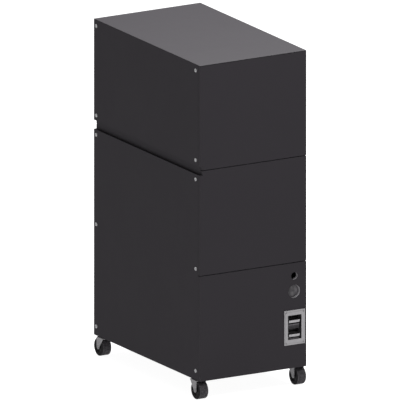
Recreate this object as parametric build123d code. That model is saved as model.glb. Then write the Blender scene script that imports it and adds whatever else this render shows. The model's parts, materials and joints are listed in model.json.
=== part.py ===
from build123d import *
import os

# Three-drawer steel cabinet on swivel castors, in millimetres.
# Front (drawer fronts) faces -Y, +X is the right-hand side seen from the front, +Z is up.
# The origin is on the floor under the middle of the cabinet.

# Overall size
WIDTH = 338.0
DEPTH = 584.0
BASE_Z = 55.0
MODULE = 300.0
HALF_WIDTH = WIDTH / 2
HALF_DEPTH = DEPTH / 2
TOP_Z = BASE_Z + 3 * MODULE
DRAWERS = ("bottom", "middle", "top")

# Sheet metal
SHEET = 1.5
COVER_DEPTH = 8.0
FRONT_DEPTH = 10.0
SEAM = 2.0
SLIP = 0.5
FLANGE = 12.0
LOWER_SEAM_Z = BASE_Z + MODULE
UPPER_SEAM_Z = BASE_Z + 2 * MODULE
GROOVE_LOW = UPPER_SEAM_Z - 14
GROOVE_HIGH = UPPER_SEAM_Z + 12
WALL_OUT = HALF_WIDTH - COVER_DEPTH
WALL_IN = WALL_OUT - SHEET
FRONT_BACK_Y = -HALF_DEPTH + FRONT_DEPTH
SKIN_Y = -HALF_DEPTH + SHEET
COVER_FRONT_Y = FRONT_BACK_Y + SLIP
REAR_Y = HALF_DEPTH - SHEET
REAR_FLANGE = 16.0

# Base plate, dividers and the ring under the lid, which share their front and rear limits
PLATE_LOW = 70.0
PLATE_TOP = 72.5
PLATE_SKIRT = 2.0
SKIRT_LIFT = 1.0
INNER_FRONT_Y = -280.0
INNER_BACK_Y = 288.0
FIT = 0.1

# Side and back fixings
SCREW_R = 2.5
SCREW_HEAD_R = 5.25
SCREW_HEAD_HEIGHT = 2.0
SCREW_LENGTH = 14.0
SCREW_HOLE_R = 2.75
SOCKET_R = 1.75
SOCKET_DEPTH = 1.2
THREAD_BORE_R = 2.55
RIVET_NUT_R = 3.5
RIVET_NUT_RIM_R = 4.5
RIVET_NUT_RIM = 0.8
RIVET_NUT_LENGTH = 8.0
SIDE_SCREW_Y = (-HALF_DEPTH + 23.3, HALF_DEPTH - 13.5)
RIGHT_SCREW_Z = (TOP_Z - 18, UPPER_SEAM_Z + 27, LOWER_SEAM_Z + 17, BASE_Z + 26)
LEFT_SCREW_Z = RIGHT_SCREW_Z + (UPPER_SEAM_Z - 28,)
BACK_SCREW_X = 151.0
BACK_SCREW_Z = (TOP_Z - 30, UPPER_SEAM_Z + 39, UPPER_SEAM_Z - 40, LOWER_SEAM_Z + 29, BASE_Z + 40)
BACK_SCREW_LENGTH = 11.0

# Drawers and their runners. Member depths are measured inward from the carcass wall.
BOX_HALF_WIDTH = 146.5
BOX_SHEET = 1.2
BOX_LIFT = 25.0
BOX_HEIGHT = {"bottom": 165.0, "middle": 230.0, "top": 230.0}
BOX_BACK_Y = 180.0
RUNNER_LIFT = 50.0
RUNNER_SHEET = 1.2
RUNNER_FRONT_Y = -279.0
RUNNER_LENGTH = 450.0
CABINET_LIP = 9.5
CABINET_HALF_HEIGHT = 17.5
MIDDLE_WEB = 1.8
MIDDLE_LIP = 11.2
MIDDLE_HALF_HEIGHT = 15.7
DRAWER_LIP = 4.0
DRAWER_HALF_HEIGHT = 13.7
FIXING_X = 90.0
FIXING_RISE = (35.0, 125.0)
FIXING_LENGTH = 8.0
BOSS_R = 5.0
BOSS_FLOOR = 0.5
TOP_FRONT_GAP = 0.7

# Push latches behind the drawers
LATCH_LIFT = 35.0
LATCH_FRONT_Y = 195.0
LATCH_LENGTH = 60.0
LATCH_HALF_WIDTH = 9.0
LATCH_BORE = 52.0
PLUNGER_R = 4.0
PLUNGER_BORE_R = 4.05
PLUNGER_INSERTION = 48.0
PLUNGER_TIP_R = 7.0
PLUNGER_TIP = 3.0
PLUNGER_GAP = 0.4

# Power plate, breakers and cable holes on the bottom drawer front
WINDOW_CENTRE_X = 131.1
WINDOW_WIDTH = 43.3
WINDOW_TOP = 205.7
WINDOW_HEIGHT = 69.0
PLATE_BORDER = 11.1
PLATE_THICKNESS = 2.0
PLATE_TOP_BORDER = 14.4
PLATE_LOW_BORDER = 14.8
PLATE_SCREW_R = 1.5
PLATE_SCREW_HEAD_R = 2.6
PLATE_SCREW_SINK = 1.4
PLATE_SCREW_LENGTH = 7.0
OPENING_MARGIN = 0.3
BREAKER_WIDTH = 36.0
BREAKER_HEIGHT = 39.5
BREAKER_PITCH = 40.0
BREAKER_DEPTH = 56.0
BREAKER_RISE = 3.2
BREAKER_FACE_Y = -HALF_DEPTH + 4.0
POCKET_WIDTH = 34.2
POCKET_HEIGHT = 26.0
POCKET_DEPTH = 16.0
POCKET_BELOW_TOP = 2.6
PIVOT_BELOW_TOP = 15.8
TOGGLE_TILT = 27.8
TOGGLE_PIVOT_Y = BREAKER_FACE_Y + 8.9
TOGGLE_REACH = 9.0
TOGGLE_HALF_WEB = 2.0
TOGGLE_WIDTH = 33.6
TOGGLE_HUB_R = 3.0
BAR_DEPTH = 5.0
BAR_HALF_HEIGHT = 4.4
BAR_ROUND = 1.4
TRUNNION_R = 1.5
TRUNNION_BORE_R = 1.55
TRUNNION_LENGTH = 1.2
RAIL_WIDTH = 35.0
RAIL_DEPTH = 7.5
RAIL_SHEET = 1.0
RAIL_WEB = 27.0
HOUSING_SHEET = 1.0
HOUSING_LEFT = 23.4
HOUSING_RIGHT = 23.2
HOUSING_MARGIN = 1.0
HOUSING_GAP = 0.6
BUSH_CENTRE = (131.0, 317.0)
BUSH_BORE_R = 10.25
BUSH_R = 11.6
GROMMET_CENTRE = (130.4, 273.0)
GROMMET_BORE_R = 18.6
GROMMET_R = 20.0
GROMMET_SKIN = 1.2
GROMMET_DOME_R = 40.0
GROMMET_DOME_Y = -248.4
RING_LIP = 2.5
RING_LIP_THICKNESS = 1.5
RING_GAP = 0.05

# Castors
CASTER_X = 155.5
CASTER_Y = 253.0
CASTER_TRAIL = 14.0
WHEEL_R = 25.4
WHEEL_WIDTH = 27.4
TYRE_ROUND = 2.0
CORE_R = 17.0
CORE_WIDTH = 25.4
CORE_DISH_R = 14.5
CORE_DISH_DEPTH = 2.5
CORE_BOSS_R = 6.5
AXLE_R = 3.0
AXLE_BORE_R = 3.05
AXLE_HEAD_R = 4.4
AXLE_HEAD = 0.8
FORK_SHEET = 1.6
FORK_GAP = 14.0
FORK_TIP_R = 6.5
CROWN_LOW = 51.6
CROWN_BACK = -13.0
CROWN_FRONT = 21.5
RACE_R = 11.0
RACE_TOP = 62.0
KING_PIN_R = 6.0
KING_BORE_R = 6.05
PIN_HEAD_R = 8.0
PIN_HEAD_BORE_R = 8.3
PIN_HEAD_GAP = 0.2
PIN_HEAD_LOW = 51.8
PIN_HEAD_TOP = 54.2
STUD_R = 4.0
STUD_HOLE_R = 4.2
STUD_TOP = 72.4
WELD_BOSS_R = 10.0
WELD_BOSS_LOW = 62.3


def block(x_span, y_span, z_span):
    """A box between two limits on each axis."""
    spans = (x_span, y_span, z_span)
    centre = [(low + high) / 2 for low, high in spans]
    size = [abs(high - low) for low, high in spans]
    return Pos(*centre) * Box(*size)


def rod(axis, at, span, radius):
    """A cylinder along X, Y or Z. at gives its place on the other two axes, in order."""
    turn = {"x": Rot(0, 90, 0), "y": Rot(-90, 0, 0), "z": Rot(0, 0, 0)}[axis]
    middle = (span[0] + span[1]) / 2
    places = {"x": (middle, at[0], at[1]), "y": (at[0], middle, at[1]), "z": (at[0], at[1], middle)}
    return Pos(*places[axis]) * turn * Cylinder(radius, abs(span[1] - span[0]))


def module_base(name):
    """Height at which a drawer's module starts."""
    return BASE_Z + DRAWERS.index(name) * MODULE


def shelf_top(name):
    """Upper face of the sheet below a drawer."""
    return PLATE_TOP if name == "bottom" else module_base(name) + SHEET / 2


# Covers, walls and panels


def screw_heights(side):
    """Heights of a side's cover screws. The left side has one more, below its groove."""
    return LEFT_SCREW_Z if side < 0 else RIGHT_SCREW_Z


def side_cover(side, z_low, z_high, skirt):
    """A folded tray over one side wall. A skirt hangs below the base plate as one skin."""
    skin = side * (HALF_WIDTH - SHEET)
    inner = (side * WALL_OUT, skin)
    y_span = (COVER_FRONT_Y + SHEET, REAR_Y - SHEET)
    tray = block((side * WALL_OUT, side * HALF_WIDTH), (COVER_FRONT_Y, REAR_Y), (z_low, z_high))
    floor = PLATE_TOP if skirt else z_low
    tray -= block(inner, y_span, (floor + SHEET, z_high - SHEET))
    if skirt:
        tray -= block(inner, y_span, (z_low, PLATE_TOP))
    for z in screw_heights(side):
        if z_low < z < z_high:
            for y in SIDE_SCREW_Y:
                tray -= rod("x", (y, z), (skin - side, side * (HALF_WIDTH + 1)), SCREW_HOLE_R)
    return tray


def side_wall(side):
    """The carcass wall, with an inward flange at the rear for the back panels."""
    z_span = (PLATE_TOP, TOP_Z - SHEET)
    wall = block((side * WALL_IN, side * WALL_OUT), (COVER_FRONT_Y, REAR_Y), z_span)
    wall += block((side * (WALL_IN - REAR_FLANGE), side * WALL_IN), (REAR_Y - SHEET, REAR_Y), z_span)
    for z in screw_heights(side):
        for y in SIDE_SCREW_Y:
            wall -= rod("x", (y, z), (side * (WALL_IN - 1), side * (WALL_OUT + 1)), RIVET_NUT_R)
    for z in BACK_SCREW_Z:
        wall -= rod("y", (side * BACK_SCREW_X, z), (REAR_Y - 3, REAR_Y + 1), RIVET_NUT_R)
    return wall


def groove_corner(margin, y_span):
    """The left corner that a front or back panel loses where the side groove runs out."""
    reach = COVER_DEPTH + margin
    z_span = (GROOVE_LOW - margin, GROOVE_HIGH + margin)
    return block((-HALF_WIDTH - 1, -HALF_WIDTH + reach), y_span, z_span)


def back_panel(z_low, z_high):
    panel = block((-HALF_WIDTH, HALF_WIDTH), (REAR_Y, HALF_DEPTH), (z_low, z_high))
    panel -= groove_corner(0, (REAR_Y - 1, HALF_DEPTH + 1))
    for side in (-1, 1):
        for z in BACK_SCREW_Z:
            panel -= rod("y", (side * BACK_SCREW_X, z), (REAR_Y - 1, HALF_DEPTH + 1), SCREW_HOLE_R)
    return panel


def top_panel():
    """The flat lid, stiffened by a ring of flanges that drops inside the carcass."""
    z_span = (TOP_Z - SHEET - FLANGE, TOP_Z - SHEET)
    half = WALL_IN - FIT
    ring = block((-half, half), (INNER_FRONT_Y, INNER_BACK_Y), z_span)
    y_span = (INNER_FRONT_Y + SHEET, INNER_BACK_Y - SHEET)
    ring -= block((-half + SHEET, half - SHEET), y_span, z_span)
    return ring + block((-HALF_WIDTH, HALF_WIDTH), (-HALF_DEPTH, HALF_DEPTH), (TOP_Z - SHEET, TOP_Z))


def divider(z):
    """A shelf between two drawers, with its front edge folded down."""
    half = WALL_IN - FIT
    shelf = block((-half, half), (INNER_FRONT_Y, INNER_BACK_Y), (z - SHEET / 2, z + SHEET / 2))
    fold = (INNER_FRONT_Y, INNER_FRONT_Y + SHEET)
    return shelf + block((-half, half), fold, (z - SHEET / 2 - FLANGE, z))


def base_plate():
    """The load-bearing bottom, with front and rear skirts that hide the castor heads."""
    half = HALF_WIDTH - SHEET - 2 * FIT
    plate = block((-half, half), (INNER_FRONT_Y, INNER_BACK_Y), (PLATE_LOW, PLATE_TOP))
    for y in (INNER_FRONT_Y, INNER_BACK_Y - PLATE_SKIRT):
        plate += block((-half, half), (y, y + PLATE_SKIRT), (BASE_Z + SKIRT_LIFT, PLATE_LOW))
    for x, y, _ in caster_places():
        plate -= rod("z", (x, y), (PLATE_LOW - 1, PLATE_TOP + 1), STUD_HOLE_R)
    return plate


# Fixings


def socket_screw(radius, head_radius, head_height, length):
    """A button-head screw along Z: the head's underside is at zero and the shank goes down."""
    head = Pos(0, 0, head_height / 2) * Cylinder(head_radius, head_height)
    rim = head.edges().filter_by(GeomType.CIRCLE).sort_by(Axis.Z)[-1]
    head = fillet(rim, head_height * 0.8)
    head += Pos(0, 0, -length / 2) * Cylinder(radius, length)
    return head - Pos(0, 0, head_height) * extrude(RegularPolygon(SOCKET_R, 6), -SOCKET_DEPTH)


def side_screws():
    screw = socket_screw(SCREW_R, SCREW_HEAD_R, SCREW_HEAD_HEIGHT, SCREW_LENGTH)
    group = []
    for side in (-1, 1):
        for y in SIDE_SCREW_Y:
            for z in screw_heights(side):
                group.append(Pos(side * HALF_WIDTH, y, z) * Rot(0, side * 90, 0) * screw)
    return group


def back_screws():
    screw = socket_screw(SCREW_R, SCREW_HEAD_R, SCREW_HEAD_HEIGHT, BACK_SCREW_LENGTH)
    group = []
    for side in (-1, 1):
        for z in BACK_SCREW_Z:
            group.append(Pos(side * BACK_SCREW_X, HALF_DEPTH, z) * Rot(-90, 0, 0) * screw)
    return group


def rivet_nuts():
    """Threaded inserts: rimmed ones in the walls, flush ones in the walls' rear flanges."""
    group = []
    for side in (-1, 1):
        for y in SIDE_SCREW_Y:
            for z in screw_heights(side):
                inner = side * (WALL_OUT - RIVET_NUT_LENGTH)
                rim = side * (WALL_OUT + RIVET_NUT_RIM)
                nut = rod("x", (y, z), (inner, side * WALL_OUT), RIVET_NUT_R)
                nut += rod("x", (y, z), (side * WALL_OUT, rim), RIVET_NUT_RIM_R)
                group.append(nut - rod("x", (y, z), (inner, rim), THREAD_BORE_R))
        for z in BACK_SCREW_Z:
            at = (side * BACK_SCREW_X, z)
            span = (REAR_Y - BACK_SCREW_LENGTH, REAR_Y)
            group.append(rod("y", at, span, RIVET_NUT_R) - rod("y", at, span, THREAD_BORE_R))
    return group


# Drawers


def drawer_front(name):
    """A folded pan with bosses for the box screws. Its left corners follow the side groove."""
    low = module_base(name) + SEAM / 2
    high = module_base(name) + MODULE - SEAM / 2
    if name == "bottom":
        low = BASE_Z
    if name == "top":
        high = TOP_Z - SHEET - TOP_FRONT_GAP
    y_span = (-HALF_DEPTH, FRONT_BACK_Y)
    inside = (SKIN_Y, FRONT_BACK_Y)
    pan = block((-HALF_WIDTH, HALF_WIDTH), y_span, (low, high))
    pan -= groove_corner(0, (-HALF_DEPTH - 1, FRONT_BACK_Y + 1))
    inner_half = HALF_WIDTH - SHEET
    hollow = block((-inner_half, inner_half), inside, (low + SHEET, high - SHEET))
    hollow -= groove_corner(SHEET, inside)
    pan -= hollow
    for x, z in fixing_places(name):
        pan += rod("y", (x, z), inside, BOSS_R)
        pan -= rod("y", (x, z), (SKIN_Y + BOSS_FLOOR, FRONT_BACK_Y + 1), THREAD_BORE_R)
    if name == "bottom":
        pan = cut_power_openings(pan)
    return pan


def cut_power_openings(pan):
    """The breaker window, the plate's screw holes and the two cable holes."""
    through = (-HALF_DEPTH - 1, SKIN_Y + 1)
    half = WINDOW_WIDTH / 2 + OPENING_MARGIN
    z_span = (WINDOW_TOP - WINDOW_HEIGHT - OPENING_MARGIN, WINDOW_TOP + OPENING_MARGIN)
    pan -= block((WINDOW_CENTRE_X - half, WINDOW_CENTRE_X + half), through, z_span)
    for x, z in plate_screw_places():
        pan -= rod("y", (x, z), through, PLATE_SCREW_R + RING_GAP)
    pan -= rod("y", BUSH_CENTRE, through, BUSH_R + RING_GAP)
    return pan - rod("y", GROMMET_CENTRE, through, GROMMET_R + RING_GAP)


def fixing_places(name):
    """Where the front is screwed to its box, seen from the front."""
    low = module_base(name) + BOX_LIFT
    return [(side * FIXING_X, low + rise) for side in (-1, 1) for rise in FIXING_RISE]


def drawer_box(name):
    """An open tray of five edge-welded plates, cut away round the breaker housing in the bottom one."""
    low = module_base(name) + BOX_LIFT
    walls = (low + BOX_SHEET, low + BOX_HEIGHT[name])
    half = BOX_HALF_WIDTH
    inner = half - BOX_SHEET
    depth = (FRONT_BACK_Y, BOX_BACK_Y)
    floor = block((-half, half), depth, (low, walls[0]))
    left = block((-half, -inner), depth, walls)
    right = block((inner, half), depth, walls)
    front = block((-inner, inner), (FRONT_BACK_Y, FRONT_BACK_Y + BOX_SHEET), walls)
    back = block((-inner, inner), (BOX_BACK_Y - BOX_SHEET, BOX_BACK_Y), walls)
    for x, z in fixing_places(name):
        front -= rod("y", (x, z), (FRONT_BACK_Y - 1, FRONT_BACK_Y + BOX_SHEET + 1), SCREW_HOLE_R)
    if name == "bottom":
        x_span, y_span, z_span = housing_spans(HOUSING_GAP)
        notch = block((x_span[0], half + 1), (FRONT_BACK_Y - 1, y_span[1]), z_span)
        front -= notch
        right -= notch
    return [floor, left, right, front, back]


def drawer_front_screws(name):
    screw = socket_screw(SCREW_R, SCREW_HEAD_R, SCREW_HEAD_HEIGHT, FIXING_LENGTH)
    y = FRONT_BACK_Y + BOX_SHEET
    return [Pos(x, y, z) * Rot(-90, 0, 0) * screw for x, z in fixing_places(name)]


def channel(side, name, web, lip_end, half_height):
    """One runner member. web and lip_end are distances inward from the wall."""
    z = module_base(name) + RUNNER_LIFT
    y_span = (RUNNER_FRONT_Y, RUNNER_FRONT_Y + RUNNER_LENGTH)
    near, far = sorted((web[0], web[1], lip_end))[::2]
    body = block((side * (WALL_IN - near), side * (WALL_IN - far)), y_span,
                 (z - half_height, z + half_height))
    inside = (web[1], lip_end) if lip_end > web[1] else (lip_end, web[0])
    clear = half_height - RUNNER_SHEET
    return body - block((side * (WALL_IN - inside[0]), side * (WALL_IN - inside[1])), y_span,
                        (z - clear, z + clear))


def cabinet_member(side, name):
    return channel(side, name, (0, RUNNER_SHEET), CABINET_LIP, CABINET_HALF_HEIGHT)


def middle_member(side, name):
    web = (MIDDLE_WEB, MIDDLE_WEB + RUNNER_SHEET)
    return channel(side, name, web, MIDDLE_LIP, MIDDLE_HALF_HEIGHT)


def drawer_member(side, name):
    reach = WALL_IN - BOX_HALF_WIDTH
    return channel(side, name, (reach - RUNNER_SHEET, reach), DRAWER_LIP, DRAWER_HALF_HEIGHT)


# Push latches


def latch_body(name):
    """A block on the sheet below the drawer, with a blind bore for the plunger."""
    z = module_base(name) + LATCH_LIFT
    y_span = (LATCH_FRONT_Y, LATCH_FRONT_Y + LATCH_LENGTH)
    half = LATCH_HALF_WIDTH
    body = block((-half, half), y_span, (shelf_top(name), z + half))
    return body - rod("y", (0, z), (LATCH_FRONT_Y - 1, LATCH_FRONT_Y + LATCH_BORE), PLUNGER_BORE_R)


def latch_plunger(name):
    z = module_base(name) + LATCH_LIFT
    tip = (BOX_BACK_Y + PLUNGER_GAP, BOX_BACK_Y + PLUNGER_GAP + PLUNGER_TIP)
    plunger = rod("y", (0, z), tip, PLUNGER_TIP_R)
    return plunger + rod("y", (0, z), (tip[1], LATCH_FRONT_Y + PLUNGER_INSERTION), PLUNGER_R)


# Power plate, breakers and cable rings


def breaker_stack():
    """Lowest and highest point of the two stacked breakers."""
    high = WINDOW_TOP + BREAKER_RISE
    return high - BREAKER_PITCH - BREAKER_HEIGHT, high


def breaker_tops():
    high = breaker_stack()[1]
    return (high, high - BREAKER_PITCH)


def plate_spans():
    half = WINDOW_WIDTH / 2 + PLATE_BORDER
    low = WINDOW_TOP - WINDOW_HEIGHT - PLATE_LOW_BORDER
    return (WINDOW_CENTRE_X - half, WINDOW_CENTRE_X + half), (low, WINDOW_TOP + PLATE_TOP_BORDER)


def plate_screw_places():
    (left, right), (low, high) = plate_spans()
    inset = PLATE_BORDER / 2
    return [(x, z) for x in (left + inset, right - inset) for z in (low + inset, high - inset)]


def breaker_plate():
    x_span, z_span = plate_spans()
    y_span = (-HALF_DEPTH - PLATE_THICKNESS, -HALF_DEPTH)
    plate = block(x_span, y_span, z_span)
    half = WINDOW_WIDTH / 2
    plate -= block((WINDOW_CENTRE_X - half, WINDOW_CENTRE_X + half), y_span,
                   (WINDOW_TOP - WINDOW_HEIGHT, WINDOW_TOP))
    for at in plate_screw_places():
        plate -= rod("y", at, (y_span[0] - 1, y_span[1] + 1), PLATE_SCREW_R + RING_GAP)
        plate -= rod("y", at, (y_span[0], y_span[0] + PLATE_SCREW_SINK), PLATE_SCREW_HEAD_R + FIT)
    return plate


def breaker_plate_screws():
    screw = socket_screw(PLATE_SCREW_R, PLATE_SCREW_HEAD_R, PLATE_SCREW_SINK, PLATE_SCREW_LENGTH)
    y = -HALF_DEPTH - PLATE_THICKNESS + PLATE_SCREW_SINK
    return [Pos(x, y, z) * Rot(90, 0, 0) * screw for x, z in plate_screw_places()]


def circuit_breaker(top):
    """A moulded block with a front pocket for its toggle."""
    half = BREAKER_WIDTH / 2
    x = WINDOW_CENTRE_X
    y_span = (BREAKER_FACE_Y, BREAKER_FACE_Y + BREAKER_DEPTH)
    body = block((x - half, x + half), y_span, (top - BREAKER_HEIGHT, top))
    pocket_top = top - POCKET_BELOW_TOP
    body -= block((x - POCKET_WIDTH / 2, x + POCKET_WIDTH / 2),
                  (BREAKER_FACE_Y - 1, BREAKER_FACE_Y + POCKET_DEPTH),
                  (pocket_top - POCKET_HEIGHT, pocket_top))
    reach = TOGGLE_WIDTH / 2 + TRUNNION_LENGTH + FIT
    return body - rod("x", (TOGGLE_PIVOT_Y, pivot_height(top)), (x - reach, x + reach), TRUNNION_BORE_R)


def pivot_height(top):
    return top - PIVOT_BELOW_TOP


def breaker_toggle(top):
    """A bar-shaped handle on two trunnions, tilted down in its pocket."""
    half = TOGGLE_WIDTH / 2
    reach = half + TRUNNION_LENGTH
    handle = rod("x", (0, 0), (-half, half), TOGGLE_HUB_R)
    handle += block((-half, half), (-TOGGLE_REACH - 1, 0), (-TOGGLE_HALF_WEB, TOGGLE_HALF_WEB))
    bar = block((-half, half), (-TOGGLE_REACH - BAR_DEPTH, -TOGGLE_REACH),
                (-BAR_HALF_HEIGHT, BAR_HALF_HEIGHT))
    handle += fillet(bar.edges().filter_by(Axis.X), BAR_ROUND)
    handle += rod("x", (0, 0), (-reach, reach), TRUNNION_R)
    return Pos(WINDOW_CENTRE_X, TOGGLE_PIVOT_Y, pivot_height(top)) * Rot(TOGGLE_TILT, 0, 0) * handle


def housing_spans(margin):
    """Outer limits of the sheet box round the breakers, grown by a margin."""
    low, high = breaker_stack()
    x_span = (WINDOW_CENTRE_X - HOUSING_LEFT - margin, WINDOW_CENTRE_X + HOUSING_RIGHT + margin)
    back = BREAKER_FACE_Y + BREAKER_DEPTH + RAIL_DEPTH + HOUSING_SHEET + margin
    edge = HOUSING_SHEET + HOUSING_MARGIN + margin
    return x_span, (SKIN_Y, back), (low - edge, high + edge)


def breaker_housing():
    x_span, y_span, z_span = housing_spans(0)
    shell = block(x_span, y_span, z_span)
    t = HOUSING_SHEET
    return shell - block((x_span[0] + t, x_span[1] - t), (y_span[0] - 1, y_span[1] - t),
                         (z_span[0] + t, z_span[1] - t))


def din_rail():
    """A top-hat rail standing upright behind the breakers."""
    low, high = breaker_stack()
    front = BREAKER_FACE_Y + BREAKER_DEPTH
    back = front + RAIL_DEPTH
    x = WINDOW_CENTRE_X
    wing = RAIL_WIDTH / 2
    web = RAIL_WEB / 2
    t = RAIL_SHEET
    rail = block((x - web, x + web), (front, back), (low, high))
    rail -= block((x - web + t, x + web - t), (front, back - t), (low, high))
    for side in (-1, 1):
        rail += block((x + side * (web - t), x + side * wing), (front, front + t), (low, high))
    return rail


def cable_ring(centre, bore, radius):
    """A sleeve through the front with a retaining lip behind the skin."""
    span = (-HALF_DEPTH, FRONT_BACK_Y)
    ring = rod("y", centre, span, radius)
    ring += rod("y", centre, (SKIN_Y, SKIN_Y + RING_LIP_THICKNESS), radius + RING_LIP)
    return ring - rod("y", centre, (span[0] - 1, span[1] + 1), bore)


def cable_grommet():
    """The large cable ring, closed by a thin skin that domes towards the front."""
    ring = cable_ring(GROMMET_CENTRE, GROMMET_BORE_R, GROMMET_R)
    x, z = GROMMET_CENTRE
    dome = Sphere(GROMMET_DOME_R) - Sphere(GROMMET_DOME_R - GROMMET_SKIN)
    plug = rod("y", GROMMET_CENTRE, (-HALF_DEPTH, FRONT_BACK_Y), (GROMMET_BORE_R + GROMMET_R) / 2)
    return ring + (Pos(x, GROMMET_DOME_Y, z) * dome & plug)


# Castors


def caster_places():
    """X and Y of each swivel axis, and the direction in which the wheel trails."""
    return [(x * CASTER_X, y * CASTER_Y, y) for y in (-1, 1) for x in (-1, 1)]


def caster_names():
    return [f"{row}_{side}_caster" for row in ("front", "rear") for side in ("left", "right")]


def fork_outline():
    """Side view of a fork leg: wide at the crown, round at the axle."""
    corners = [(CROWN_BACK, CROWN_LOW + FORK_SHEET), (CROWN_FRONT, CROWN_LOW + FORK_SHEET),
               (CASTER_TRAIL + FORK_TIP_R, WHEEL_R), (CASTER_TRAIL - FORK_TIP_R, WHEEL_R)]
    leg = make_face(Polyline(*corners, close=True))
    return leg + Pos(CASTER_TRAIL, WHEEL_R) * Circle(FORK_TIP_R)


def caster_fork(x, y, trail):
    """A pressed fork with its bearing cup, drilled for the king pin and the axle."""
    outer = FORK_GAP + FORK_SHEET
    leg = Plane.YZ * fork_outline()
    fork = Pos(FORK_GAP, 0, 0) * extrude(leg, FORK_SHEET)
    fork += Pos(-outer, 0, 0) * extrude(leg, FORK_SHEET)
    crown = (CROWN_LOW, CROWN_LOW + FORK_SHEET)
    fork += block((-outer, outer), (CROWN_BACK, CROWN_FRONT), crown)
    fork += rod("z", (0, 0), (crown[1], RACE_TOP), RACE_R)
    fork -= rod("z", (0, 0), (CROWN_LOW - 1, RACE_TOP + 1), KING_BORE_R)
    fork -= rod("z", (0, 0), (CROWN_LOW - 1, PIN_HEAD_TOP + PIN_HEAD_GAP), PIN_HEAD_BORE_R)
    fork -= rod("x", (CASTER_TRAIL, WHEEL_R), (-outer - 1, outer + 1), AXLE_R)
    return place_caster(fork, x, y, trail)


def place_caster(shape, x, y, trail):
    """Moves a castor piece, built trailing towards +Y, to its corner."""
    turn = Rot(0, 0, 0) if trail > 0 else Rot(0, 0, 180)
    return Pos(x, y, 0) * turn * shape


def caster_axle(x, y, trail):
    outer = FORK_GAP + FORK_SHEET
    at = (CASTER_TRAIL, WHEEL_R)
    axle = rod("x", at, (-outer, outer), AXLE_R)
    for side in (-1, 1):
        axle += rod("x", at, (side * outer, side * (outer + AXLE_HEAD)), AXLE_HEAD_R)
    return place_caster(axle, x, y, trail)


def caster_core(x, y, trail):
    """The moulded wheel centre, dished on both faces round a plain bearing bore."""
    at = (CASTER_TRAIL, WHEEL_R)
    half = CORE_WIDTH / 2
    core = rod("x", at, (-half, half), CORE_R)
    for side in (-1, 1):
        dish = (side * (half - CORE_DISH_DEPTH), side * (half + 1))
        core -= rod("x", at, dish, CORE_DISH_R) - rod("x", at, dish, CORE_BOSS_R)
    core += rod("x", at, (-WHEEL_WIDTH / 2, WHEEL_WIDTH / 2), CORE_BOSS_R)
    core -= rod("x", at, (-WHEEL_WIDTH, WHEEL_WIDTH), AXLE_BORE_R)
    return place_caster(core, x, y, trail)


def caster_tyre(x, y, trail):
    at = (CASTER_TRAIL, WHEEL_R)
    half = WHEEL_WIDTH / 2
    tyre = rod("x", at, (-half, half), WHEEL_R)
    tyre = fillet(tyre.edges().filter_by(GeomType.CIRCLE), TYRE_ROUND)
    tyre -= rod("x", at, (-half - 1, half + 1), CORE_R)
    return place_caster(tyre, x, y, trail)


def caster_stem(x, y):
    """King pin with a captured head and a threaded stud, turned from one bar."""
    stem = rod("z", (x, y), (PIN_HEAD_LOW, PIN_HEAD_TOP), PIN_HEAD_R)
    stem += rod("z", (x, y), (PIN_HEAD_TOP, WELD_BOSS_LOW), KING_PIN_R)
    return stem + rod("z", (x, y), (WELD_BOSS_LOW, STUD_TOP), STUD_R)


def weld_boss(x, y):
    """A threaded boss welded under the base plate, which takes the castor's stud."""
    span = (WELD_BOSS_LOW, PLATE_LOW)
    return rod("z", (x, y), span, WELD_BOSS_R) - rod("z", (x, y), span, STUD_R + RING_GAP)


# All nodes


def carcass_nodes():
    runners = [cabinet_member(side, name) for name in DRAWERS for side in (-1, 1)]
    return {
        "base_plate": base_plate(),
        "left_wall": side_wall(-1),
        "right_wall": side_wall(1),
        "bay_dividers": [divider(LOWER_SEAM_Z), divider(UPPER_SEAM_Z)],
        "top_panel": top_panel(),
        "back_panel_upper": back_panel(UPPER_SEAM_Z + SEAM / 2, TOP_Z - SHEET),
        "back_panel_lower": back_panel(BASE_Z, UPPER_SEAM_Z - SEAM / 2),
        "left_upper_cover": side_cover(-1, GROOVE_HIGH, TOP_Z - SHEET, False),
        "left_lower_cover": side_cover(-1, BASE_Z, GROOVE_LOW, True),
        "right_cover": side_cover(1, BASE_Z, TOP_Z - SHEET, True),
        "cover_and_panel_screws": side_screws() + back_screws(),
        "rivet_nuts": rivet_nuts(),
        "runner_cabinet_members": runners,
        "push_latch_bodies": [latch_body(name) for name in DRAWERS],
        "caster_stems": [caster_stem(x, y) for x, y, _ in caster_places()],
        "caster_weld_bosses": [weld_boss(x, y) for x, y, _ in caster_places()],
    }


def drawer_nodes():
    nodes = {}
    for name in DRAWERS:
        nodes[f"{name}_drawer_front"] = drawer_front(name)
        nodes[f"{name}_drawer_box"] = drawer_box(name)
        nodes[f"{name}_drawer_front_screws"] = drawer_front_screws(name)
        nodes[f"{name}_runner_drawer_members"] = [drawer_member(side, name) for side in (-1, 1)]
        nodes[f"{name}_runner_middle_members"] = [middle_member(side, name) for side in (-1, 1)]
        nodes[f"{name}_latch_plunger"] = latch_plunger(name)
    return nodes


def power_nodes():
    upper, lower = breaker_tops()
    return {
        "breaker_plate": breaker_plate(),
        "breaker_plate_screws": breaker_plate_screws(),
        "circuit_breakers": [circuit_breaker(upper), circuit_breaker(lower)],
        "upper_breaker_toggle": breaker_toggle(upper),
        "lower_breaker_toggle": breaker_toggle(lower),
        "breaker_housing": breaker_housing(),
        "din_rail": din_rail(),
        "cable_bush": cable_ring(BUSH_CENTRE, BUSH_BORE_R, BUSH_R),
        "cable_grommet": cable_grommet(),
    }


def caster_nodes():
    nodes = {}
    for name, place in zip(caster_names(), caster_places()):
        nodes[f"{name}_fork"] = caster_fork(*place)
        nodes[f"{name}_axle"] = caster_axle(*place)
        nodes[f"{name}_wheel_core"] = caster_core(*place)
        nodes[f"{name}_tyre"] = caster_tyre(*place)
    return nodes


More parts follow.
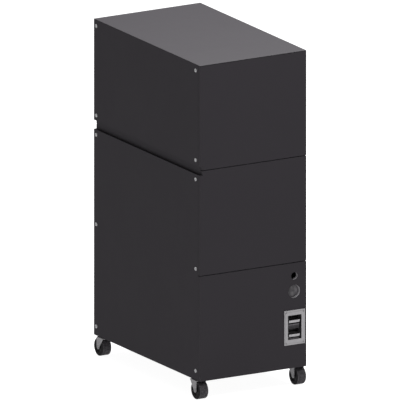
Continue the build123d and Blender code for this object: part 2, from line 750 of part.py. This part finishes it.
def main():
    os.makedirs("parts", exist_ok=True)
    nodes = {**carcass_nodes(), **drawer_nodes(), **power_nodes(), **caster_nodes()}
    for name, shape in nodes.items():
        solid = Compound(children=shape) if isinstance(shape, list) else shape
        export_step(solid, f"parts/{name}.step")


main()
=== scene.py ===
import json
import math

import bmesh
import bpy
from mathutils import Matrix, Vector


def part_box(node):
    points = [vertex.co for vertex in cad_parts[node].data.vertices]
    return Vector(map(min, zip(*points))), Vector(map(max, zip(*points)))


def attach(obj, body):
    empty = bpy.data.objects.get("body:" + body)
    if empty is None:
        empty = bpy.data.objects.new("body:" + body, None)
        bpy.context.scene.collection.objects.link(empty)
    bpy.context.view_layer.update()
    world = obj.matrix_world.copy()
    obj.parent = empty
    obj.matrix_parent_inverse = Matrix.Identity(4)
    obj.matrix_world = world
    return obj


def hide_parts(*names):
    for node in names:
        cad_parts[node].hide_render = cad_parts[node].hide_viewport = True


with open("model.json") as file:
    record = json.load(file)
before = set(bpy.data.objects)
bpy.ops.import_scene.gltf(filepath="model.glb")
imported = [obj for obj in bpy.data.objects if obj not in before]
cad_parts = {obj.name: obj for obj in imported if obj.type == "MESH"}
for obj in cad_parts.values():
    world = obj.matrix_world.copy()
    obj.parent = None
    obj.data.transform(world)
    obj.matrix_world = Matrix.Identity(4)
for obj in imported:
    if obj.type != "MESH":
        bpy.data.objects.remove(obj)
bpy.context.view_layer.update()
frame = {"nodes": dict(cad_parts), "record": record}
NODES = frame["nodes"]

# Tall steel drawer cabinet on castors. All lengths are in metres, in the CAD model's frame.

DRAWERS = ("bottom", "middle", "top")
CASTERS = ("front_left", "front_right", "rear_left", "rear_right")
MM = 0.001


# Node helpers


def new_material(name, colour, roughness, metallic=0.0, specular=0.5):
    """A material whose Principled shader has these plain values. Returns it with its tree and shader."""
    mat = bpy.data.materials.new(name)
    mat.use_nodes = True
    tree = mat.node_tree
    shader = tree.nodes["Principled BSDF"]
    shader.inputs["Base Color"].default_value = (*colour, 1)
    shader.inputs["Roughness"].default_value = roughness
    shader.inputs["Metallic"].default_value = metallic
    shader.inputs["Specular IOR Level"].default_value = specular
    return mat, tree, shader


def coordinates(tree):
    """Positions in the row frame: every CAD node and piece keeps its place in its mesh."""
    return tree.nodes.new("ShaderNodeTexCoord").outputs["Object"]


def noise(tree, scale, detail=2.0, roughness=0.5, stretch=(1, 1, 1)):
    """A noise value between 0 and 1. scale is in waves per metre."""
    mapping = tree.nodes.new("ShaderNodeMapping")
    mapping.inputs["Scale"].default_value = stretch
    tree.links.new(coordinates(tree), mapping.inputs["Vector"])
    node = tree.nodes.new("ShaderNodeTexNoise")
    node.inputs["Scale"].default_value = scale
    node.inputs["Detail"].default_value = detail
    node.inputs["Roughness"].default_value = roughness
    tree.links.new(mapping.outputs["Vector"], node.inputs["Vector"])
    return node.outputs["Fac"]


def remap(tree, value, low, high, to_low, to_high):
    """Maps a value from one range to another, clamped and smooth."""
    node = tree.nodes.new("ShaderNodeMapRange")
    node.interpolation_type = "SMOOTHSTEP"
    for socket, number in zip(node.inputs[1:5], (low, high, to_low, to_high)):
        socket.default_value = number
    tree.links.new(value, node.inputs["Value"])
    return node.outputs["Result"]


def math_node(tree, operation, a, b=None):
    """One Math node. Each operand is a socket or a number."""
    node = tree.nodes.new("ShaderNodeMath")
    node.operation = operation
    for socket, value in zip(node.inputs, (a, b)):
        if isinstance(value, (int, float)):
            socket.default_value = value
        elif value is not None:
            tree.links.new(value, socket)
    return node.outputs["Value"]


def mix_colour(tree, factor, a, b):
    """Mixes two colours. Each is a socket or an RGB triple."""
    node = tree.nodes.new("ShaderNodeMix")
    node.data_type = "RGBA"
    tree.links.new(factor, node.inputs["Factor"])
    for socket, value in zip((node.inputs[6], node.inputs[7]), (a, b)):
        if isinstance(value, tuple):
            socket.default_value = (*value, 1)
        else:
            tree.links.new(value, socket)
    return node.outputs[2]


def bump(tree, shader, layers):
    """Adds bump layers to a shader. Each is a height socket, a distance in metres and a strength."""
    normal = None
    for height, distance, strength in layers:
        node = tree.nodes.new("ShaderNodeBump")
        node.inputs["Distance"].default_value = distance
        node.inputs["Strength"].default_value = strength
        tree.links.new(height, node.inputs["Height"])
        if normal is not None:
            tree.links.new(normal, node.inputs["Normal"])
        normal = node.outputs["Normal"]
    tree.links.new(normal, shader.inputs["Normal"])


def edge_mask(tree, low, high, width):
    """1 on the edges of an axis-aligned box and 0 from one width inward.

    On a face one distance is zero, so the middle one of the three says how far the nearest edge is.
    """
    separate = tree.nodes.new("ShaderNodeSeparateXYZ")
    tree.links.new(coordinates(tree), separate.inputs["Vector"])
    gaps = []
    for axis in range(3):
        offset = math_node(tree, "SUBTRACT", separate.outputs[axis], (low[axis] + high[axis]) / 2)
        half = (high[axis] - low[axis]) / 2
        gaps.append(math_node(tree, "SUBTRACT", half, math_node(tree, "ABSOLUTE", offset)))
    smaller = math_node(tree, "MINIMUM", gaps[0], gaps[1])
    larger = math_node(tree, "MAXIMUM", gaps[0], gaps[1])
    middle = math_node(tree, "MAXIMUM", smaller, math_node(tree, "MINIMUM", larger, gaps[2]))
    return remap(tree, middle, 0.0, width, 1.0, 0.0)


# Materials

PAINT = (0.0245, 0.0214, 0.0260)
PAINT_WORN = (0.050, 0.047, 0.051)
RING_RIM = (0.022, 0.0195, 0.0235)
# Pale colour of a bore's inner wall: a painted highlight for the light that falls into the bore.
RING_WALL_PAINTED_HIGHLIGHT = (0.30, 0.288, 0.304)
RING_SKIN = (0.051, 0.048, 0.0525)
RING_BORES = {"cable_bush": 10.25 * MM, "cable_grommet": 18.6 * MM}
TOGGLE_FACE = (0.40, 0.392, 0.405)
# Black of the toggle lever: its own colour, and painted shade over the top of the bar.
TOGGLE_BLACK_PAINTED_SHADE = (0.0123, 0.0113, 0.0127)
TOGGLE_FACE_START = 12.6 * MM


def powder_coat(name, wear_box=None):
    """Matt black powder coat: fine orange peel, cloudy sheen, and rubbed outer edges."""
    mat, tree, shader = new_material(name, PAINT, 0.6, specular=0.3)
    clouds = noise(tree, 5.0, 4.0, 0.6)
    peel = noise(tree, 620.0, 2.0)
    grain = noise(tree, 2600.0, 2.0, 0.7)
    darker, lighter = [tuple(c * k for c in PAINT) for k in (0.95, 1.05)]
    colour = mix_colour(tree, clouds, darker, lighter)
    rough = remap(tree, clouds, 0.3, 0.7, 0.57, 0.64)
    if wear_box:
        edge = edge_mask(tree, *wear_box, 0.0011)
        patches = remap(tree, noise(tree, 90.0, 5.0, 0.65), 0.45, 0.75, 0.0, 0.55)
        worn = math_node(tree, "MULTIPLY", edge, patches)
        colour = mix_colour(tree, worn, colour, PAINT_WORN)
        rough = math_node(tree, "SUBTRACT", rough, math_node(tree, "MULTIPLY", worn, 0.2))
    tree.links.new(colour, shader.inputs["Base Color"])
    tree.links.new(rough, shader.inputs["Roughness"])
    bump(tree, shader, [(peel, 0.00012, 0.35), (grain, 0.00004, 0.35)])
    return mat


def satin_grey(name, colour, roughness=0.45):
    """Light-grey stoved paint with a little dirt in its hollows."""
    mat, tree, shader = new_material(name, colour, roughness)
    clouds = noise(tree, 40.0, 4.0, 0.6)
    specks = remap(tree, noise(tree, 700.0, 3.0, 0.6), 0.62, 0.78, 0.0, 0.35)
    tone = mix_colour(tree, clouds, tuple(c * 0.93 for c in colour), tuple(c * 1.05 for c in colour))
    tone = mix_colour(tree, specks, tone, tuple(c * 0.6 for c in colour))
    tree.links.new(tone, shader.inputs["Base Color"])
    tree.links.new(remap(tree, clouds, 0.3, 0.7, roughness - 0.06, roughness + 0.1),
                   shader.inputs["Roughness"])
    bump(tree, shader, [(noise(tree, 1100.0, 2.0), 0.00005, 0.3)])
    return mat


def zinc_steel(name, colour, roughness, stretch=(1, 1, 1)):
    """Zinc plated steel: fine drawn lines along one axis and mottled plating."""
    mat, tree, shader = new_material(name, colour, roughness, metallic=1.0)
    mottle = noise(tree, 160.0, 4.0, 0.65)
    lines = noise(tree, 900.0, 3.0, 0.7, stretch)
    tone = mix_colour(tree, mottle, tuple(c * 0.82 for c in colour), tuple(c * 1.08 for c in colour))
    tree.links.new(tone, shader.inputs["Base Color"])
    tree.links.new(remap(tree, mottle, 0.3, 0.7, roughness - 0.07, roughness + 0.12),
                   shader.inputs["Roughness"])
    bump(tree, shader, [(lines, 0.00003, 0.4)])
    return mat


def moulded_plastic(name, colour, roughness):
    """Injection moulded plastic with a fine spark-eroded surface."""
    mat, tree, shader = new_material(name, colour, roughness)
    clouds = noise(tree, 60.0, 3.0, 0.6)
    tone = mix_colour(tree, clouds, tuple(c * 0.85 for c in colour), tuple(c * 1.15 for c in colour))
    tree.links.new(tone, shader.inputs["Base Color"])
    tree.links.new(remap(tree, clouds, 0.3, 0.7, roughness - 0.05, roughness + 0.07),
                   shader.inputs["Roughness"])
    bump(tree, shader, [(noise(tree, 2200.0, 2.0), 0.00004, 0.4)])
    return mat


def tread_rubber(name, clean, dusty):
    """Black castor rubber, greyed by floor dust."""
    mat, tree, shader = new_material(name, clean, 0.75, specular=0.35)
    dust = remap(tree, noise(tree, 220.0, 5.0, 0.7), 0.4, 0.75, 0.0, 0.6)
    tone = mix_colour(tree, dust, clean, dusty)
    tree.links.new(tone, shader.inputs["Base Color"])
    tree.links.new(remap(tree, dust, 0.0, 0.6, 0.68, 0.85), shader.inputs["Roughness"])
    bump(tree, shader, [(noise(tree, 1500.0, 3.0, 0.6), 0.00008, 0.5)])
    return mat


def turned_screw(name, colour):
    """Bright zinc screw heads: fine random pits over a soft shine."""
    mat, tree, shader = new_material(name, colour, 0.5, metallic=0.35)
    pits = noise(tree, 1400.0, 4.0, 0.7)
    tone = mix_colour(tree, pits, tuple(c * 0.85 for c in colour), tuple(c * 1.12 for c in colour))
    tree.links.new(tone, shader.inputs["Base Color"])
    tree.links.new(remap(tree, pits, 0.3, 0.7, 0.42, 0.6), shader.inputs["Roughness"])
    bump(tree, shader, [(pits, 0.00003, 0.3)])
    return mat


def toggle_plastic(name, pivot, tilt):
    """A black toggle whose bar has a light-grey front face; the black over the top of the bar is also
    painted shade for the shadow it lies in within its pocket.

    pivot is the Y and Z of its axis, and tilt how far the lever points down from the front.
    """
    mat, tree, shader = new_material(name, TOGGLE_FACE, 0.4)
    separate = tree.nodes.new("ShaderNodeSeparateXYZ")
    tree.links.new(coordinates(tree), separate.inputs["Vector"])
    forward = math_node(tree, "MULTIPLY",
                        math_node(tree, "SUBTRACT", separate.outputs["Y"], pivot[0]), -math.cos(tilt))
    down = math_node(tree, "MULTIPLY",
                     math_node(tree, "SUBTRACT", separate.outputs["Z"], pivot[1]), -math.sin(tilt))
    reach = math_node(tree, "ADD", forward, down)
    # Black from the pivot out over the bar's top, partly as painted shade; light grey on the bar's front
    # face.
    face = remap(tree, reach, TOGGLE_FACE_START - 0.1 * MM, TOGGLE_FACE_START + 0.1 * MM, 0.0, 1.0)
    clouds = noise(tree, 80.0, 3.0, 0.6)
    light = mix_colour(tree, clouds, tuple(c * 0.94 for c in TOGGLE_FACE),
                       tuple(c * 1.04 for c in TOGGLE_FACE))
    tree.links.new(mix_colour(tree, face, TOGGLE_BLACK_PAINTED_SHADE, light), shader.inputs["Base Color"])
    tree.links.new(remap(tree, clouds, 0.3, 0.7, 0.36, 0.48), shader.inputs["Roughness"])
    bump(tree, shader, [(noise(tree, 2200.0, 2.0), 0.00004, 0.4)])
    return mat


def bore_ring(node, bore):
    """A black rim round a bore whose wall is painted pale as a painted highlight for the light falling on
    the inner wall, and the thin skin across it if it has one.
    """
    low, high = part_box(node)
    mat, tree, shader = new_material(f"{node}_plastic", RING_RIM, 0.5, specular=0.3)
    separate = tree.nodes.new("ShaderNodeSeparateXYZ")
    tree.links.new(coordinates(tree), separate.inputs["Vector"])
    across = math_node(tree, "SUBTRACT", separate.outputs["X"], (low.x + high.x) / 2)
    up = math_node(tree, "SUBTRACT", separate.outputs["Z"], (low.z + high.z) / 2)
    square = math_node(tree, "ADD", math_node(tree, "MULTIPLY", across, across),
                       math_node(tree, "MULTIPLY", up, up))
    radius = math_node(tree, "SQRT", square)
    # The bore's wall gets the pale painted highlight.
    wall = remap(tree, radius, bore - 1.0 * MM, bore - 0.3 * MM, 0.0, 1.0)
    behind = remap(tree, separate.outputs["Y"], low.y + 0.3 * MM, low.y + 0.8 * MM, 0.0, 1.0)
    clouds = remap(tree, noise(tree, 90.0, 3.0, 0.6), 0.3, 0.7, 0.0, 0.25)
    skin = mix_colour(tree, clouds, RING_SKIN, RING_WALL_PAINTED_HIGHLIGHT)
    inside = mix_colour(tree, wall, skin, RING_WALL_PAINTED_HIGHLIGHT)
    tree.links.new(mix_colour(tree, behind, RING_RIM, inside), shader.inputs["Base Color"])
    tree.links.new(remap(tree, clouds, 0.0, 0.25, 0.45, 0.55), shader.inputs["Roughness"])
    bump(tree, shader, [(noise(tree, 2200.0, 2.0), 0.00004, 0.4)])
    return mat


MATERIALS = {
    "zinc_steel": zinc_steel("zinc_steel", (0.62, 0.62, 0.63), 0.38),
    "runner_steel": zinc_steel("runner_steel", (0.52, 0.53, 0.55), 0.34, (1, 0.03, 1)),
    "fork_steel": satin_grey("fork_steel", (0.275, 0.268, 0.278), 0.42),
    "light_grey_plate": satin_grey("light_grey_plate", (0.322, 0.314, 0.326)),
    "black_plastic": moulded_plastic("black_plastic", (0.033, 0.0303, 0.0341), 0.42),
    # Wheel centres: black plastic made darker than the other black plastic, partly their own colour and
    # partly painted shade for the less lit sides of the wheel.
    "wheel_plastic": moulded_plastic("wheel_plastic", (0.0062, 0.0055, 0.0065), 0.5),
    "castor_rubber": tread_rubber("castor_rubber", (0.0300, 0.0274, 0.0311), (0.135, 0.126, 0.138)),
    "black_powder_coat": powder_coat("black_powder_coat"),
}
# Tyre sides far darker than the tread: painted shade for the less lit sides of the wheel.
SIDEWALL_PAINTED_SHADE = tread_rubber("castor_sidewall_painted_shade", (0.0062, 0.0055, 0.0065), (0.016, 0.0147, 0.0166))
# Lighter plastic for the breaker lips: a painted highlight for the light along the lip's edge.
LIP_PAINTED_HIGHLIGHT = moulded_plastic("lip_plastic_painted_highlight", (0.12, 0.112, 0.123), 0.42)
SCREW_ZINC = turned_screw("screw_zinc", (0.54, 0.54, 0.55))
WORN_PANELS = (
    ["left_upper_cover", "left_lower_cover", "right_cover", "top_panel",
     "back_panel_upper", "back_panel_lower"] + [f"{d}_drawer_front" for d in DRAWERS]
)
TOGGLE_TILT = math.radians(27.8)
PIVOTS = {j["child"]: j["pos_m"] for j in frame["record"]["behaviour"]["joints"] if "pos_m" in j}


# CAD nodes: materials, softened edges

SLOT_OF = {s["node"]: s["material_slot"] for s in frame["record"]["subparts"]}
SHEET_BEVEL = 0.5 * MM
SMALL_BEVEL = 0.2 * MM
WELD_DISTANCE = 0.01 * MM
BEVEL_ANGLE = 40
FLAT_ANGLE = 1


def finish_of(node):
    """The material of a CAD node."""
    if node in WORN_PANELS:
        return powder_coat(f"powder_coat_{node}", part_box(node))
    if node.endswith("breaker_toggle"):
        _, y, z = PIVOTS[node.replace("breaker_toggle", "toggle")]
        return toggle_plastic(f"toggle_plastic_{node}", (y, z), TOGGLE_TILT)
    if node == "cover_and_panel_screws":
        return SCREW_ZINC
    if node in RING_BORES:
        return bore_ring(node, RING_BORES[node])
    return MATERIALS[SLOT_OF[node]]


def dress(node, bevel):
    """Gives a CAD node its finish and rounds its sharp edges by a small bevel.

    Flat sheet is merged into whole faces first, so that the bevel leaves no creases across it.
    """
    obj = NODES[node]
    mat = finish_of(node)
    obj.data.materials.clear()
    obj.data.materials.append(mat)
    weld = obj.modifiers.new("weld", "WELD")
    weld.merge_threshold = WELD_DISTANCE
    if SLOT_OF[node] == "black_powder_coat":
        flat = obj.modifiers.new("flat", "DECIMATE")
        flat.decimate_type = "DISSOLVE"
        flat.angle_limit = math.radians(FLAT_ANGLE)
    edge = obj.modifiers.new("edge", "BEVEL")
    edge.width = bevel
    edge.segments = 2
    edge.limit_method = "ANGLE"
    edge.angle_limit = math.radians(BEVEL_ANGLE)
    edge.use_clamp_overlap = True
    edge.harden_normals = True


for node_name in NODES:
    dress(node_name, SHEET_BEVEL if SLOT_OF[node_name] == "black_powder_coat" else SMALL_BEVEL)


# Added pieces


def new_piece(name, mesh_data, body, slot, *materials):
    """A piece from (vertices, faces), which rides on a body. Returns its object."""
    verts, faces = mesh_data
    mesh = bpy.data.meshes.new(name)
    mesh.from_pydata(verts, [], faces)
    mesh.validate()
    mesh.update()
    obj = bpy.data.objects.new(name, mesh)
    bpy.context.scene.collection.objects.link(obj)
    for mat in materials:
        mesh.materials.append(mat)
    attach(obj, body)
    return obj


def outward(obj):
    """Turns every face of a closed piece outward."""
    work = bmesh.new()
    work.from_mesh(obj.data)
    bmesh.ops.recalc_face_normals(work, faces=work.faces)
    work.to_mesh(obj.data)
    work.free()


def lathe_x(profile, centre, steps):
    """A closed ring of (axial, radius) points turned about an axis along X."""
    x, y, z = centre
    verts = []
    for i in range(steps):
        angle = 2 * math.pi * i / steps
        verts += [(x + a, y + r * math.cos(angle), z + r * math.sin(angle)) for a, r in profile]
    n = len(profile)
    faces = []
    for i in range(steps):
        here, there = i * n, ((i + 1) % steps) * n
        faces += [(here + j, here + (j + 1) % n, there + (j + 1) % n, there + j) for j in range(n)]
    return verts, faces


def swept_frame(profile, low, high):
    """A profile of (inward, height) points carried round a rectangle, with mitred corners."""
    verts = []
    for inward, height in profile:
        x0, x1, y0, y1 = low[0] + inward, high[0] - inward, low[1] + inward, high[1] - inward
        verts += [(x0, y0, height), (x1, y0, height), (x1, y1, height), (x0, y1, height)]
    n = len(profile)
    faces = []
    for i in range(n):
        here, there = 4 * i, 4 * ((i + 1) % n)
        faces += [(here + j, here + (j + 1) % 4, there + (j + 1) % 4, there + j) for j in range(4)]
    return verts, faces


def extruded_x(profile, span):
    """A closed outline of (y, z) points between two X limits."""
    n = len(profile)
    verts = [(x, y, z) for x in span for y, z in profile]
    faces = [tuple(range(n))[::-1], tuple(range(n, 2 * n))]
    faces += [(i, (i + 1) % n, n + (i + 1) % n, n + i) for i in range(n)]
    return verts, faces


def smooth(obj, angle):
    """Smooth shading with sharp edges above an angle in degrees."""
    for face in obj.data.polygons:
        face.use_smooth = True
    edge = obj.modifiers.new("split", "EDGE_SPLIT")
    edge.split_angle = math.radians(angle)


TREAD_GROOVES = (-8.8 * MM, -4.4 * MM, 0.0, 4.4 * MM, 8.8 * MM)
GROOVE_HALF = 0.45 * MM
GROOVE_SINK = 0.7 * MM
SHOULDER = 2.0 * MM
RIM_RADIUS = 17.0 * MM
RIB_RADIUS = 20.5 * MM
RIB_HALF = 0.9 * MM
RIB_SINK = 0.5 * MM


def tyre_profile(half, radius):
    """Half a tyre's section, mirrored: grooved tread, round shoulders, a sunk ring in each side."""
    side = [(half, RIM_RADIUS), (half, RIB_RADIUS - RIB_HALF), (half - RIB_SINK, RIB_RADIUS),
            (half, RIB_RADIUS + RIB_HALF), (half, radius - SHOULDER)]
    for i in range(1, 6):
        turn = math.pi / 2 * i / 6
        side.append((half - SHOULDER * (1 - math.cos(turn)), radius - SHOULDER * (1 - math.sin(turn))))
    side.append((half - SHOULDER, radius))
    tread = []
    for x in reversed(TREAD_GROOVES):
        tread += [(x + GROOVE_HALF, radius), (x + GROOVE_HALF / 2, radius - GROOVE_SINK),
                  (x - GROOVE_HALF / 2, radius - GROOVE_SINK), (x - GROOVE_HALF, radius)]
    return side + tread + [(-x, r) for x, r in reversed(side)]


def add_tyre(caster):
    """The grooved tyre in place of the plain CAD one, its sides in painted shade."""
    node = f"{caster}_caster_tyre"
    low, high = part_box(node)
    centre = (low + high) / 2
    half = (high.x - low.x) / 2
    radius = (high.z - low.z) / 2
    tyre = new_piece(f"{caster}_tyre_tread", lathe_x(tyre_profile(half, radius), centre, 96),
                     f"{caster}_wheel", "castor_rubber", MATERIALS["castor_rubber"], SIDEWALL_PAINTED_SHADE)
    outward(tyre)
    # Faces on the tyre's sides take the darker painted-shade rubber.
    for face in tyre.data.polygons:
        if abs(face.center.x - centre.x) > half - SHOULDER * 0.3:
            face.material_index = 1
    smooth(tyre, 35)
    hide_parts(node)


HEM_RADIUS = 1.9 * MM
HEM_STEPS = 12


def add_hem(drawer):
    """A rolled edge round the top of a drawer box, on its inner side."""
    low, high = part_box(f"{drawer}_drawer_box")
    middle = (HEM_RADIUS, high.z - HEM_RADIUS)
    profile = []
    for i in range(HEM_STEPS):
        turn = 2 * math.pi * i / HEM_STEPS
        profile.append((middle[0] + HEM_RADIUS * math.cos(turn), middle[1] + HEM_RADIUS * math.sin(turn)))
    hem = new_piece(f"{drawer}_drawer_hem", swept_frame(profile, low, high), f"{drawer}_drawer",
                    "black_powder_coat", MATERIALS["black_powder_coat"])
    outward(hem)
    smooth(hem, 50)


RIVET = [(0.0, 0.2 * MM), (0.0, 3.4 * MM), (0.5 * MM, 3.3 * MM), (1.1 * MM, 2.6 * MM),
         (1.5 * MM, 1.5 * MM), (1.6 * MM, 0.2 * MM)]
RUNNER_SHEET = 1.2 * MM
RIVET_PLACES = (30 * MM, 62 * MM, 158 * MM, 286 * MM, 414 * MM)


def add_runner_rivets(drawer):
    """The rivets that hold the drawer's runner members to its box, in a row inside each channel."""
    low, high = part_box(f"{drawer}_runner_drawer_members")
    box_low, box_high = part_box(f"{drawer}_drawer_box")
    verts, faces = [], []
    for wall, side in ((box_low.x, -1), (box_high.x, 1)):
        face = wall + side * RUNNER_SHEET
        section = [(side * a, r) for a, r in RIVET]
        for y in RIVET_PLACES:
            more, more_faces = lathe_x(section, (face, low.y + y, (low.z + high.z) / 2), 24)
            faces += [tuple(i + len(verts) for i in f) for f in more_faces]
            verts += more
    rivets = new_piece(f"{drawer}_runner_rivets", (verts, faces), f"{drawer}_drawer", "zinc_steel",
                       MATERIALS["zinc_steel"])
    outward(rivets)
    smooth(rivets, 45)


LIP_HEIGHT = 2.8 * MM
LIP_REACH = 1.1 * MM
LIP_HALF_WIDTH = 16.6 * MM
LIP_TOP = -14.4 * MM


def add_breaker_lip(which):
    """The moulded lip under a breaker's toggle pocket, rounded on its upper front edge, in a lighter grey
    that is a painted highlight for the light its edge catches.
    """
    x, _, z = PIVOTS[f"{which}_toggle"]
    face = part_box("circuit_breakers")[0].y
    top = z + LIP_TOP
    outline = [(face, top - LIP_HEIGHT), (face - LIP_REACH * 0.6, top - LIP_HEIGHT),
               (face - LIP_REACH, top - LIP_HEIGHT * 0.6), (face - LIP_REACH, top - LIP_HEIGHT * 0.35),
               (face - LIP_REACH * 0.7, top), (face, top)]
    lip = new_piece(f"{which}_breaker_lip", extruded_x(outline, (x - LIP_HALF_WIDTH, x + LIP_HALF_WIDTH)),
                    "bottom_drawer", "black_plastic", LIP_PAINTED_HIGHLIGHT)
    outward(lip)


for name in CASTERS:
    add_tyre(name)
for name in DRAWERS:
    add_hem(name)
    add_runner_rivets(name)
for name in ("upper", "lower"):
    add_breaker_lip(name)


# Stage: floor, lights, camera

CAMERA_AZIMUTH = math.radians(-30)
CAMERA_ELEVATION = math.radians(15)
FRAME_WIDTH = 1.1009
AIM_HEIGHT = 0.5732
CAMERA_DISTANCE = 4.0
FLOOR_REACH = 12.0
FLOOR_GLOW = 0.95
WORLD_STRENGTH = 0.3


def add_camera():
    """A parallel view of the front left corner, a little from above."""
    front_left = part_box("bottom_drawer_front")[0]
    target = Vector((front_left.x, front_left.y, AIM_HEIGHT))
    level = math.cos(CAMERA_ELEVATION)
    back = Vector((math.sin(CAMERA_AZIMUTH) * level, -math.cos(CAMERA_AZIMUTH) * level,
                   math.sin(CAMERA_ELEVATION)))
    data = bpy.data.cameras.new("camera")
    data.type = "ORTHO"
    data.ortho_scale = FRAME_WIDTH
    camera = bpy.data.objects.new("camera", data)
    camera.location = target + back * CAMERA_DISTANCE
    camera.rotation_mode = "QUATERNION"
    camera.rotation_quaternion = (-back).to_track_quat("-Z", "Y")
    bpy.context.scene.collection.objects.link(camera)
    bpy.context.scene.camera = camera


def area_light(name, place, aim, size, power):
    data = bpy.data.lights.new(name, "AREA")
    data.shape = "RECTANGLE"
    data.size, data.size_y = size
    data.energy = power
    light = bpy.data.objects.new(name, data)
    light.location = place
    direction = Vector(aim) - Vector(place)
    light.rotation_mode = "QUATERNION"
    light.rotation_quaternion = direction.to_track_quat("-Z", "Y")
    bpy.context.scene.collection.objects.link(light)


def add_floor():
    """A pale floor that fills the view."""
    mesh = bpy.data.meshes.new("floor")
    corners = [(x * FLOOR_REACH, y * FLOOR_REACH, 0) for x, y in ((-1, -1), (1, -1), (1, 1), (-1, 1))]
    mesh.from_pydata(corners, [], [(0, 1, 2, 3)])
    floor = bpy.data.objects.new("floor", mesh)
    bpy.context.scene.collection.objects.link(floor)
    mat, _, shader = new_material("pale_floor", (0.3, 0.3, 0.3), 0.8, specular=0.2)
    shader.inputs["Emission Color"].default_value = (1, 1, 1, 1)
    shader.inputs["Emission Strength"].default_value = FLOOR_GLOW
    mesh.materials.append(mat)
    floor.visible_glossy = False


def add_world(strength):
    world = bpy.data.worlds.new("studio")
    world.use_nodes = True
    background = world.node_tree.nodes["Background"]
    background.inputs["Color"].default_value = (1, 1, 1, 1)
    background.inputs["Strength"].default_value = strength
    bpy.context.scene.world = world


bpy.context.scene.view_settings.view_transform = "Standard"
add_camera()
add_floor()
add_world(WORLD_STRENGTH)
area_light("overhead", (1.2, 0.8, 4.4), (0.1, 0, 0.9), (2.6, 2.6), 312)
area_light("key", (0.15, -1.9, 3.4), (0, 0, 0.5), (1.0, 1.0), 54)
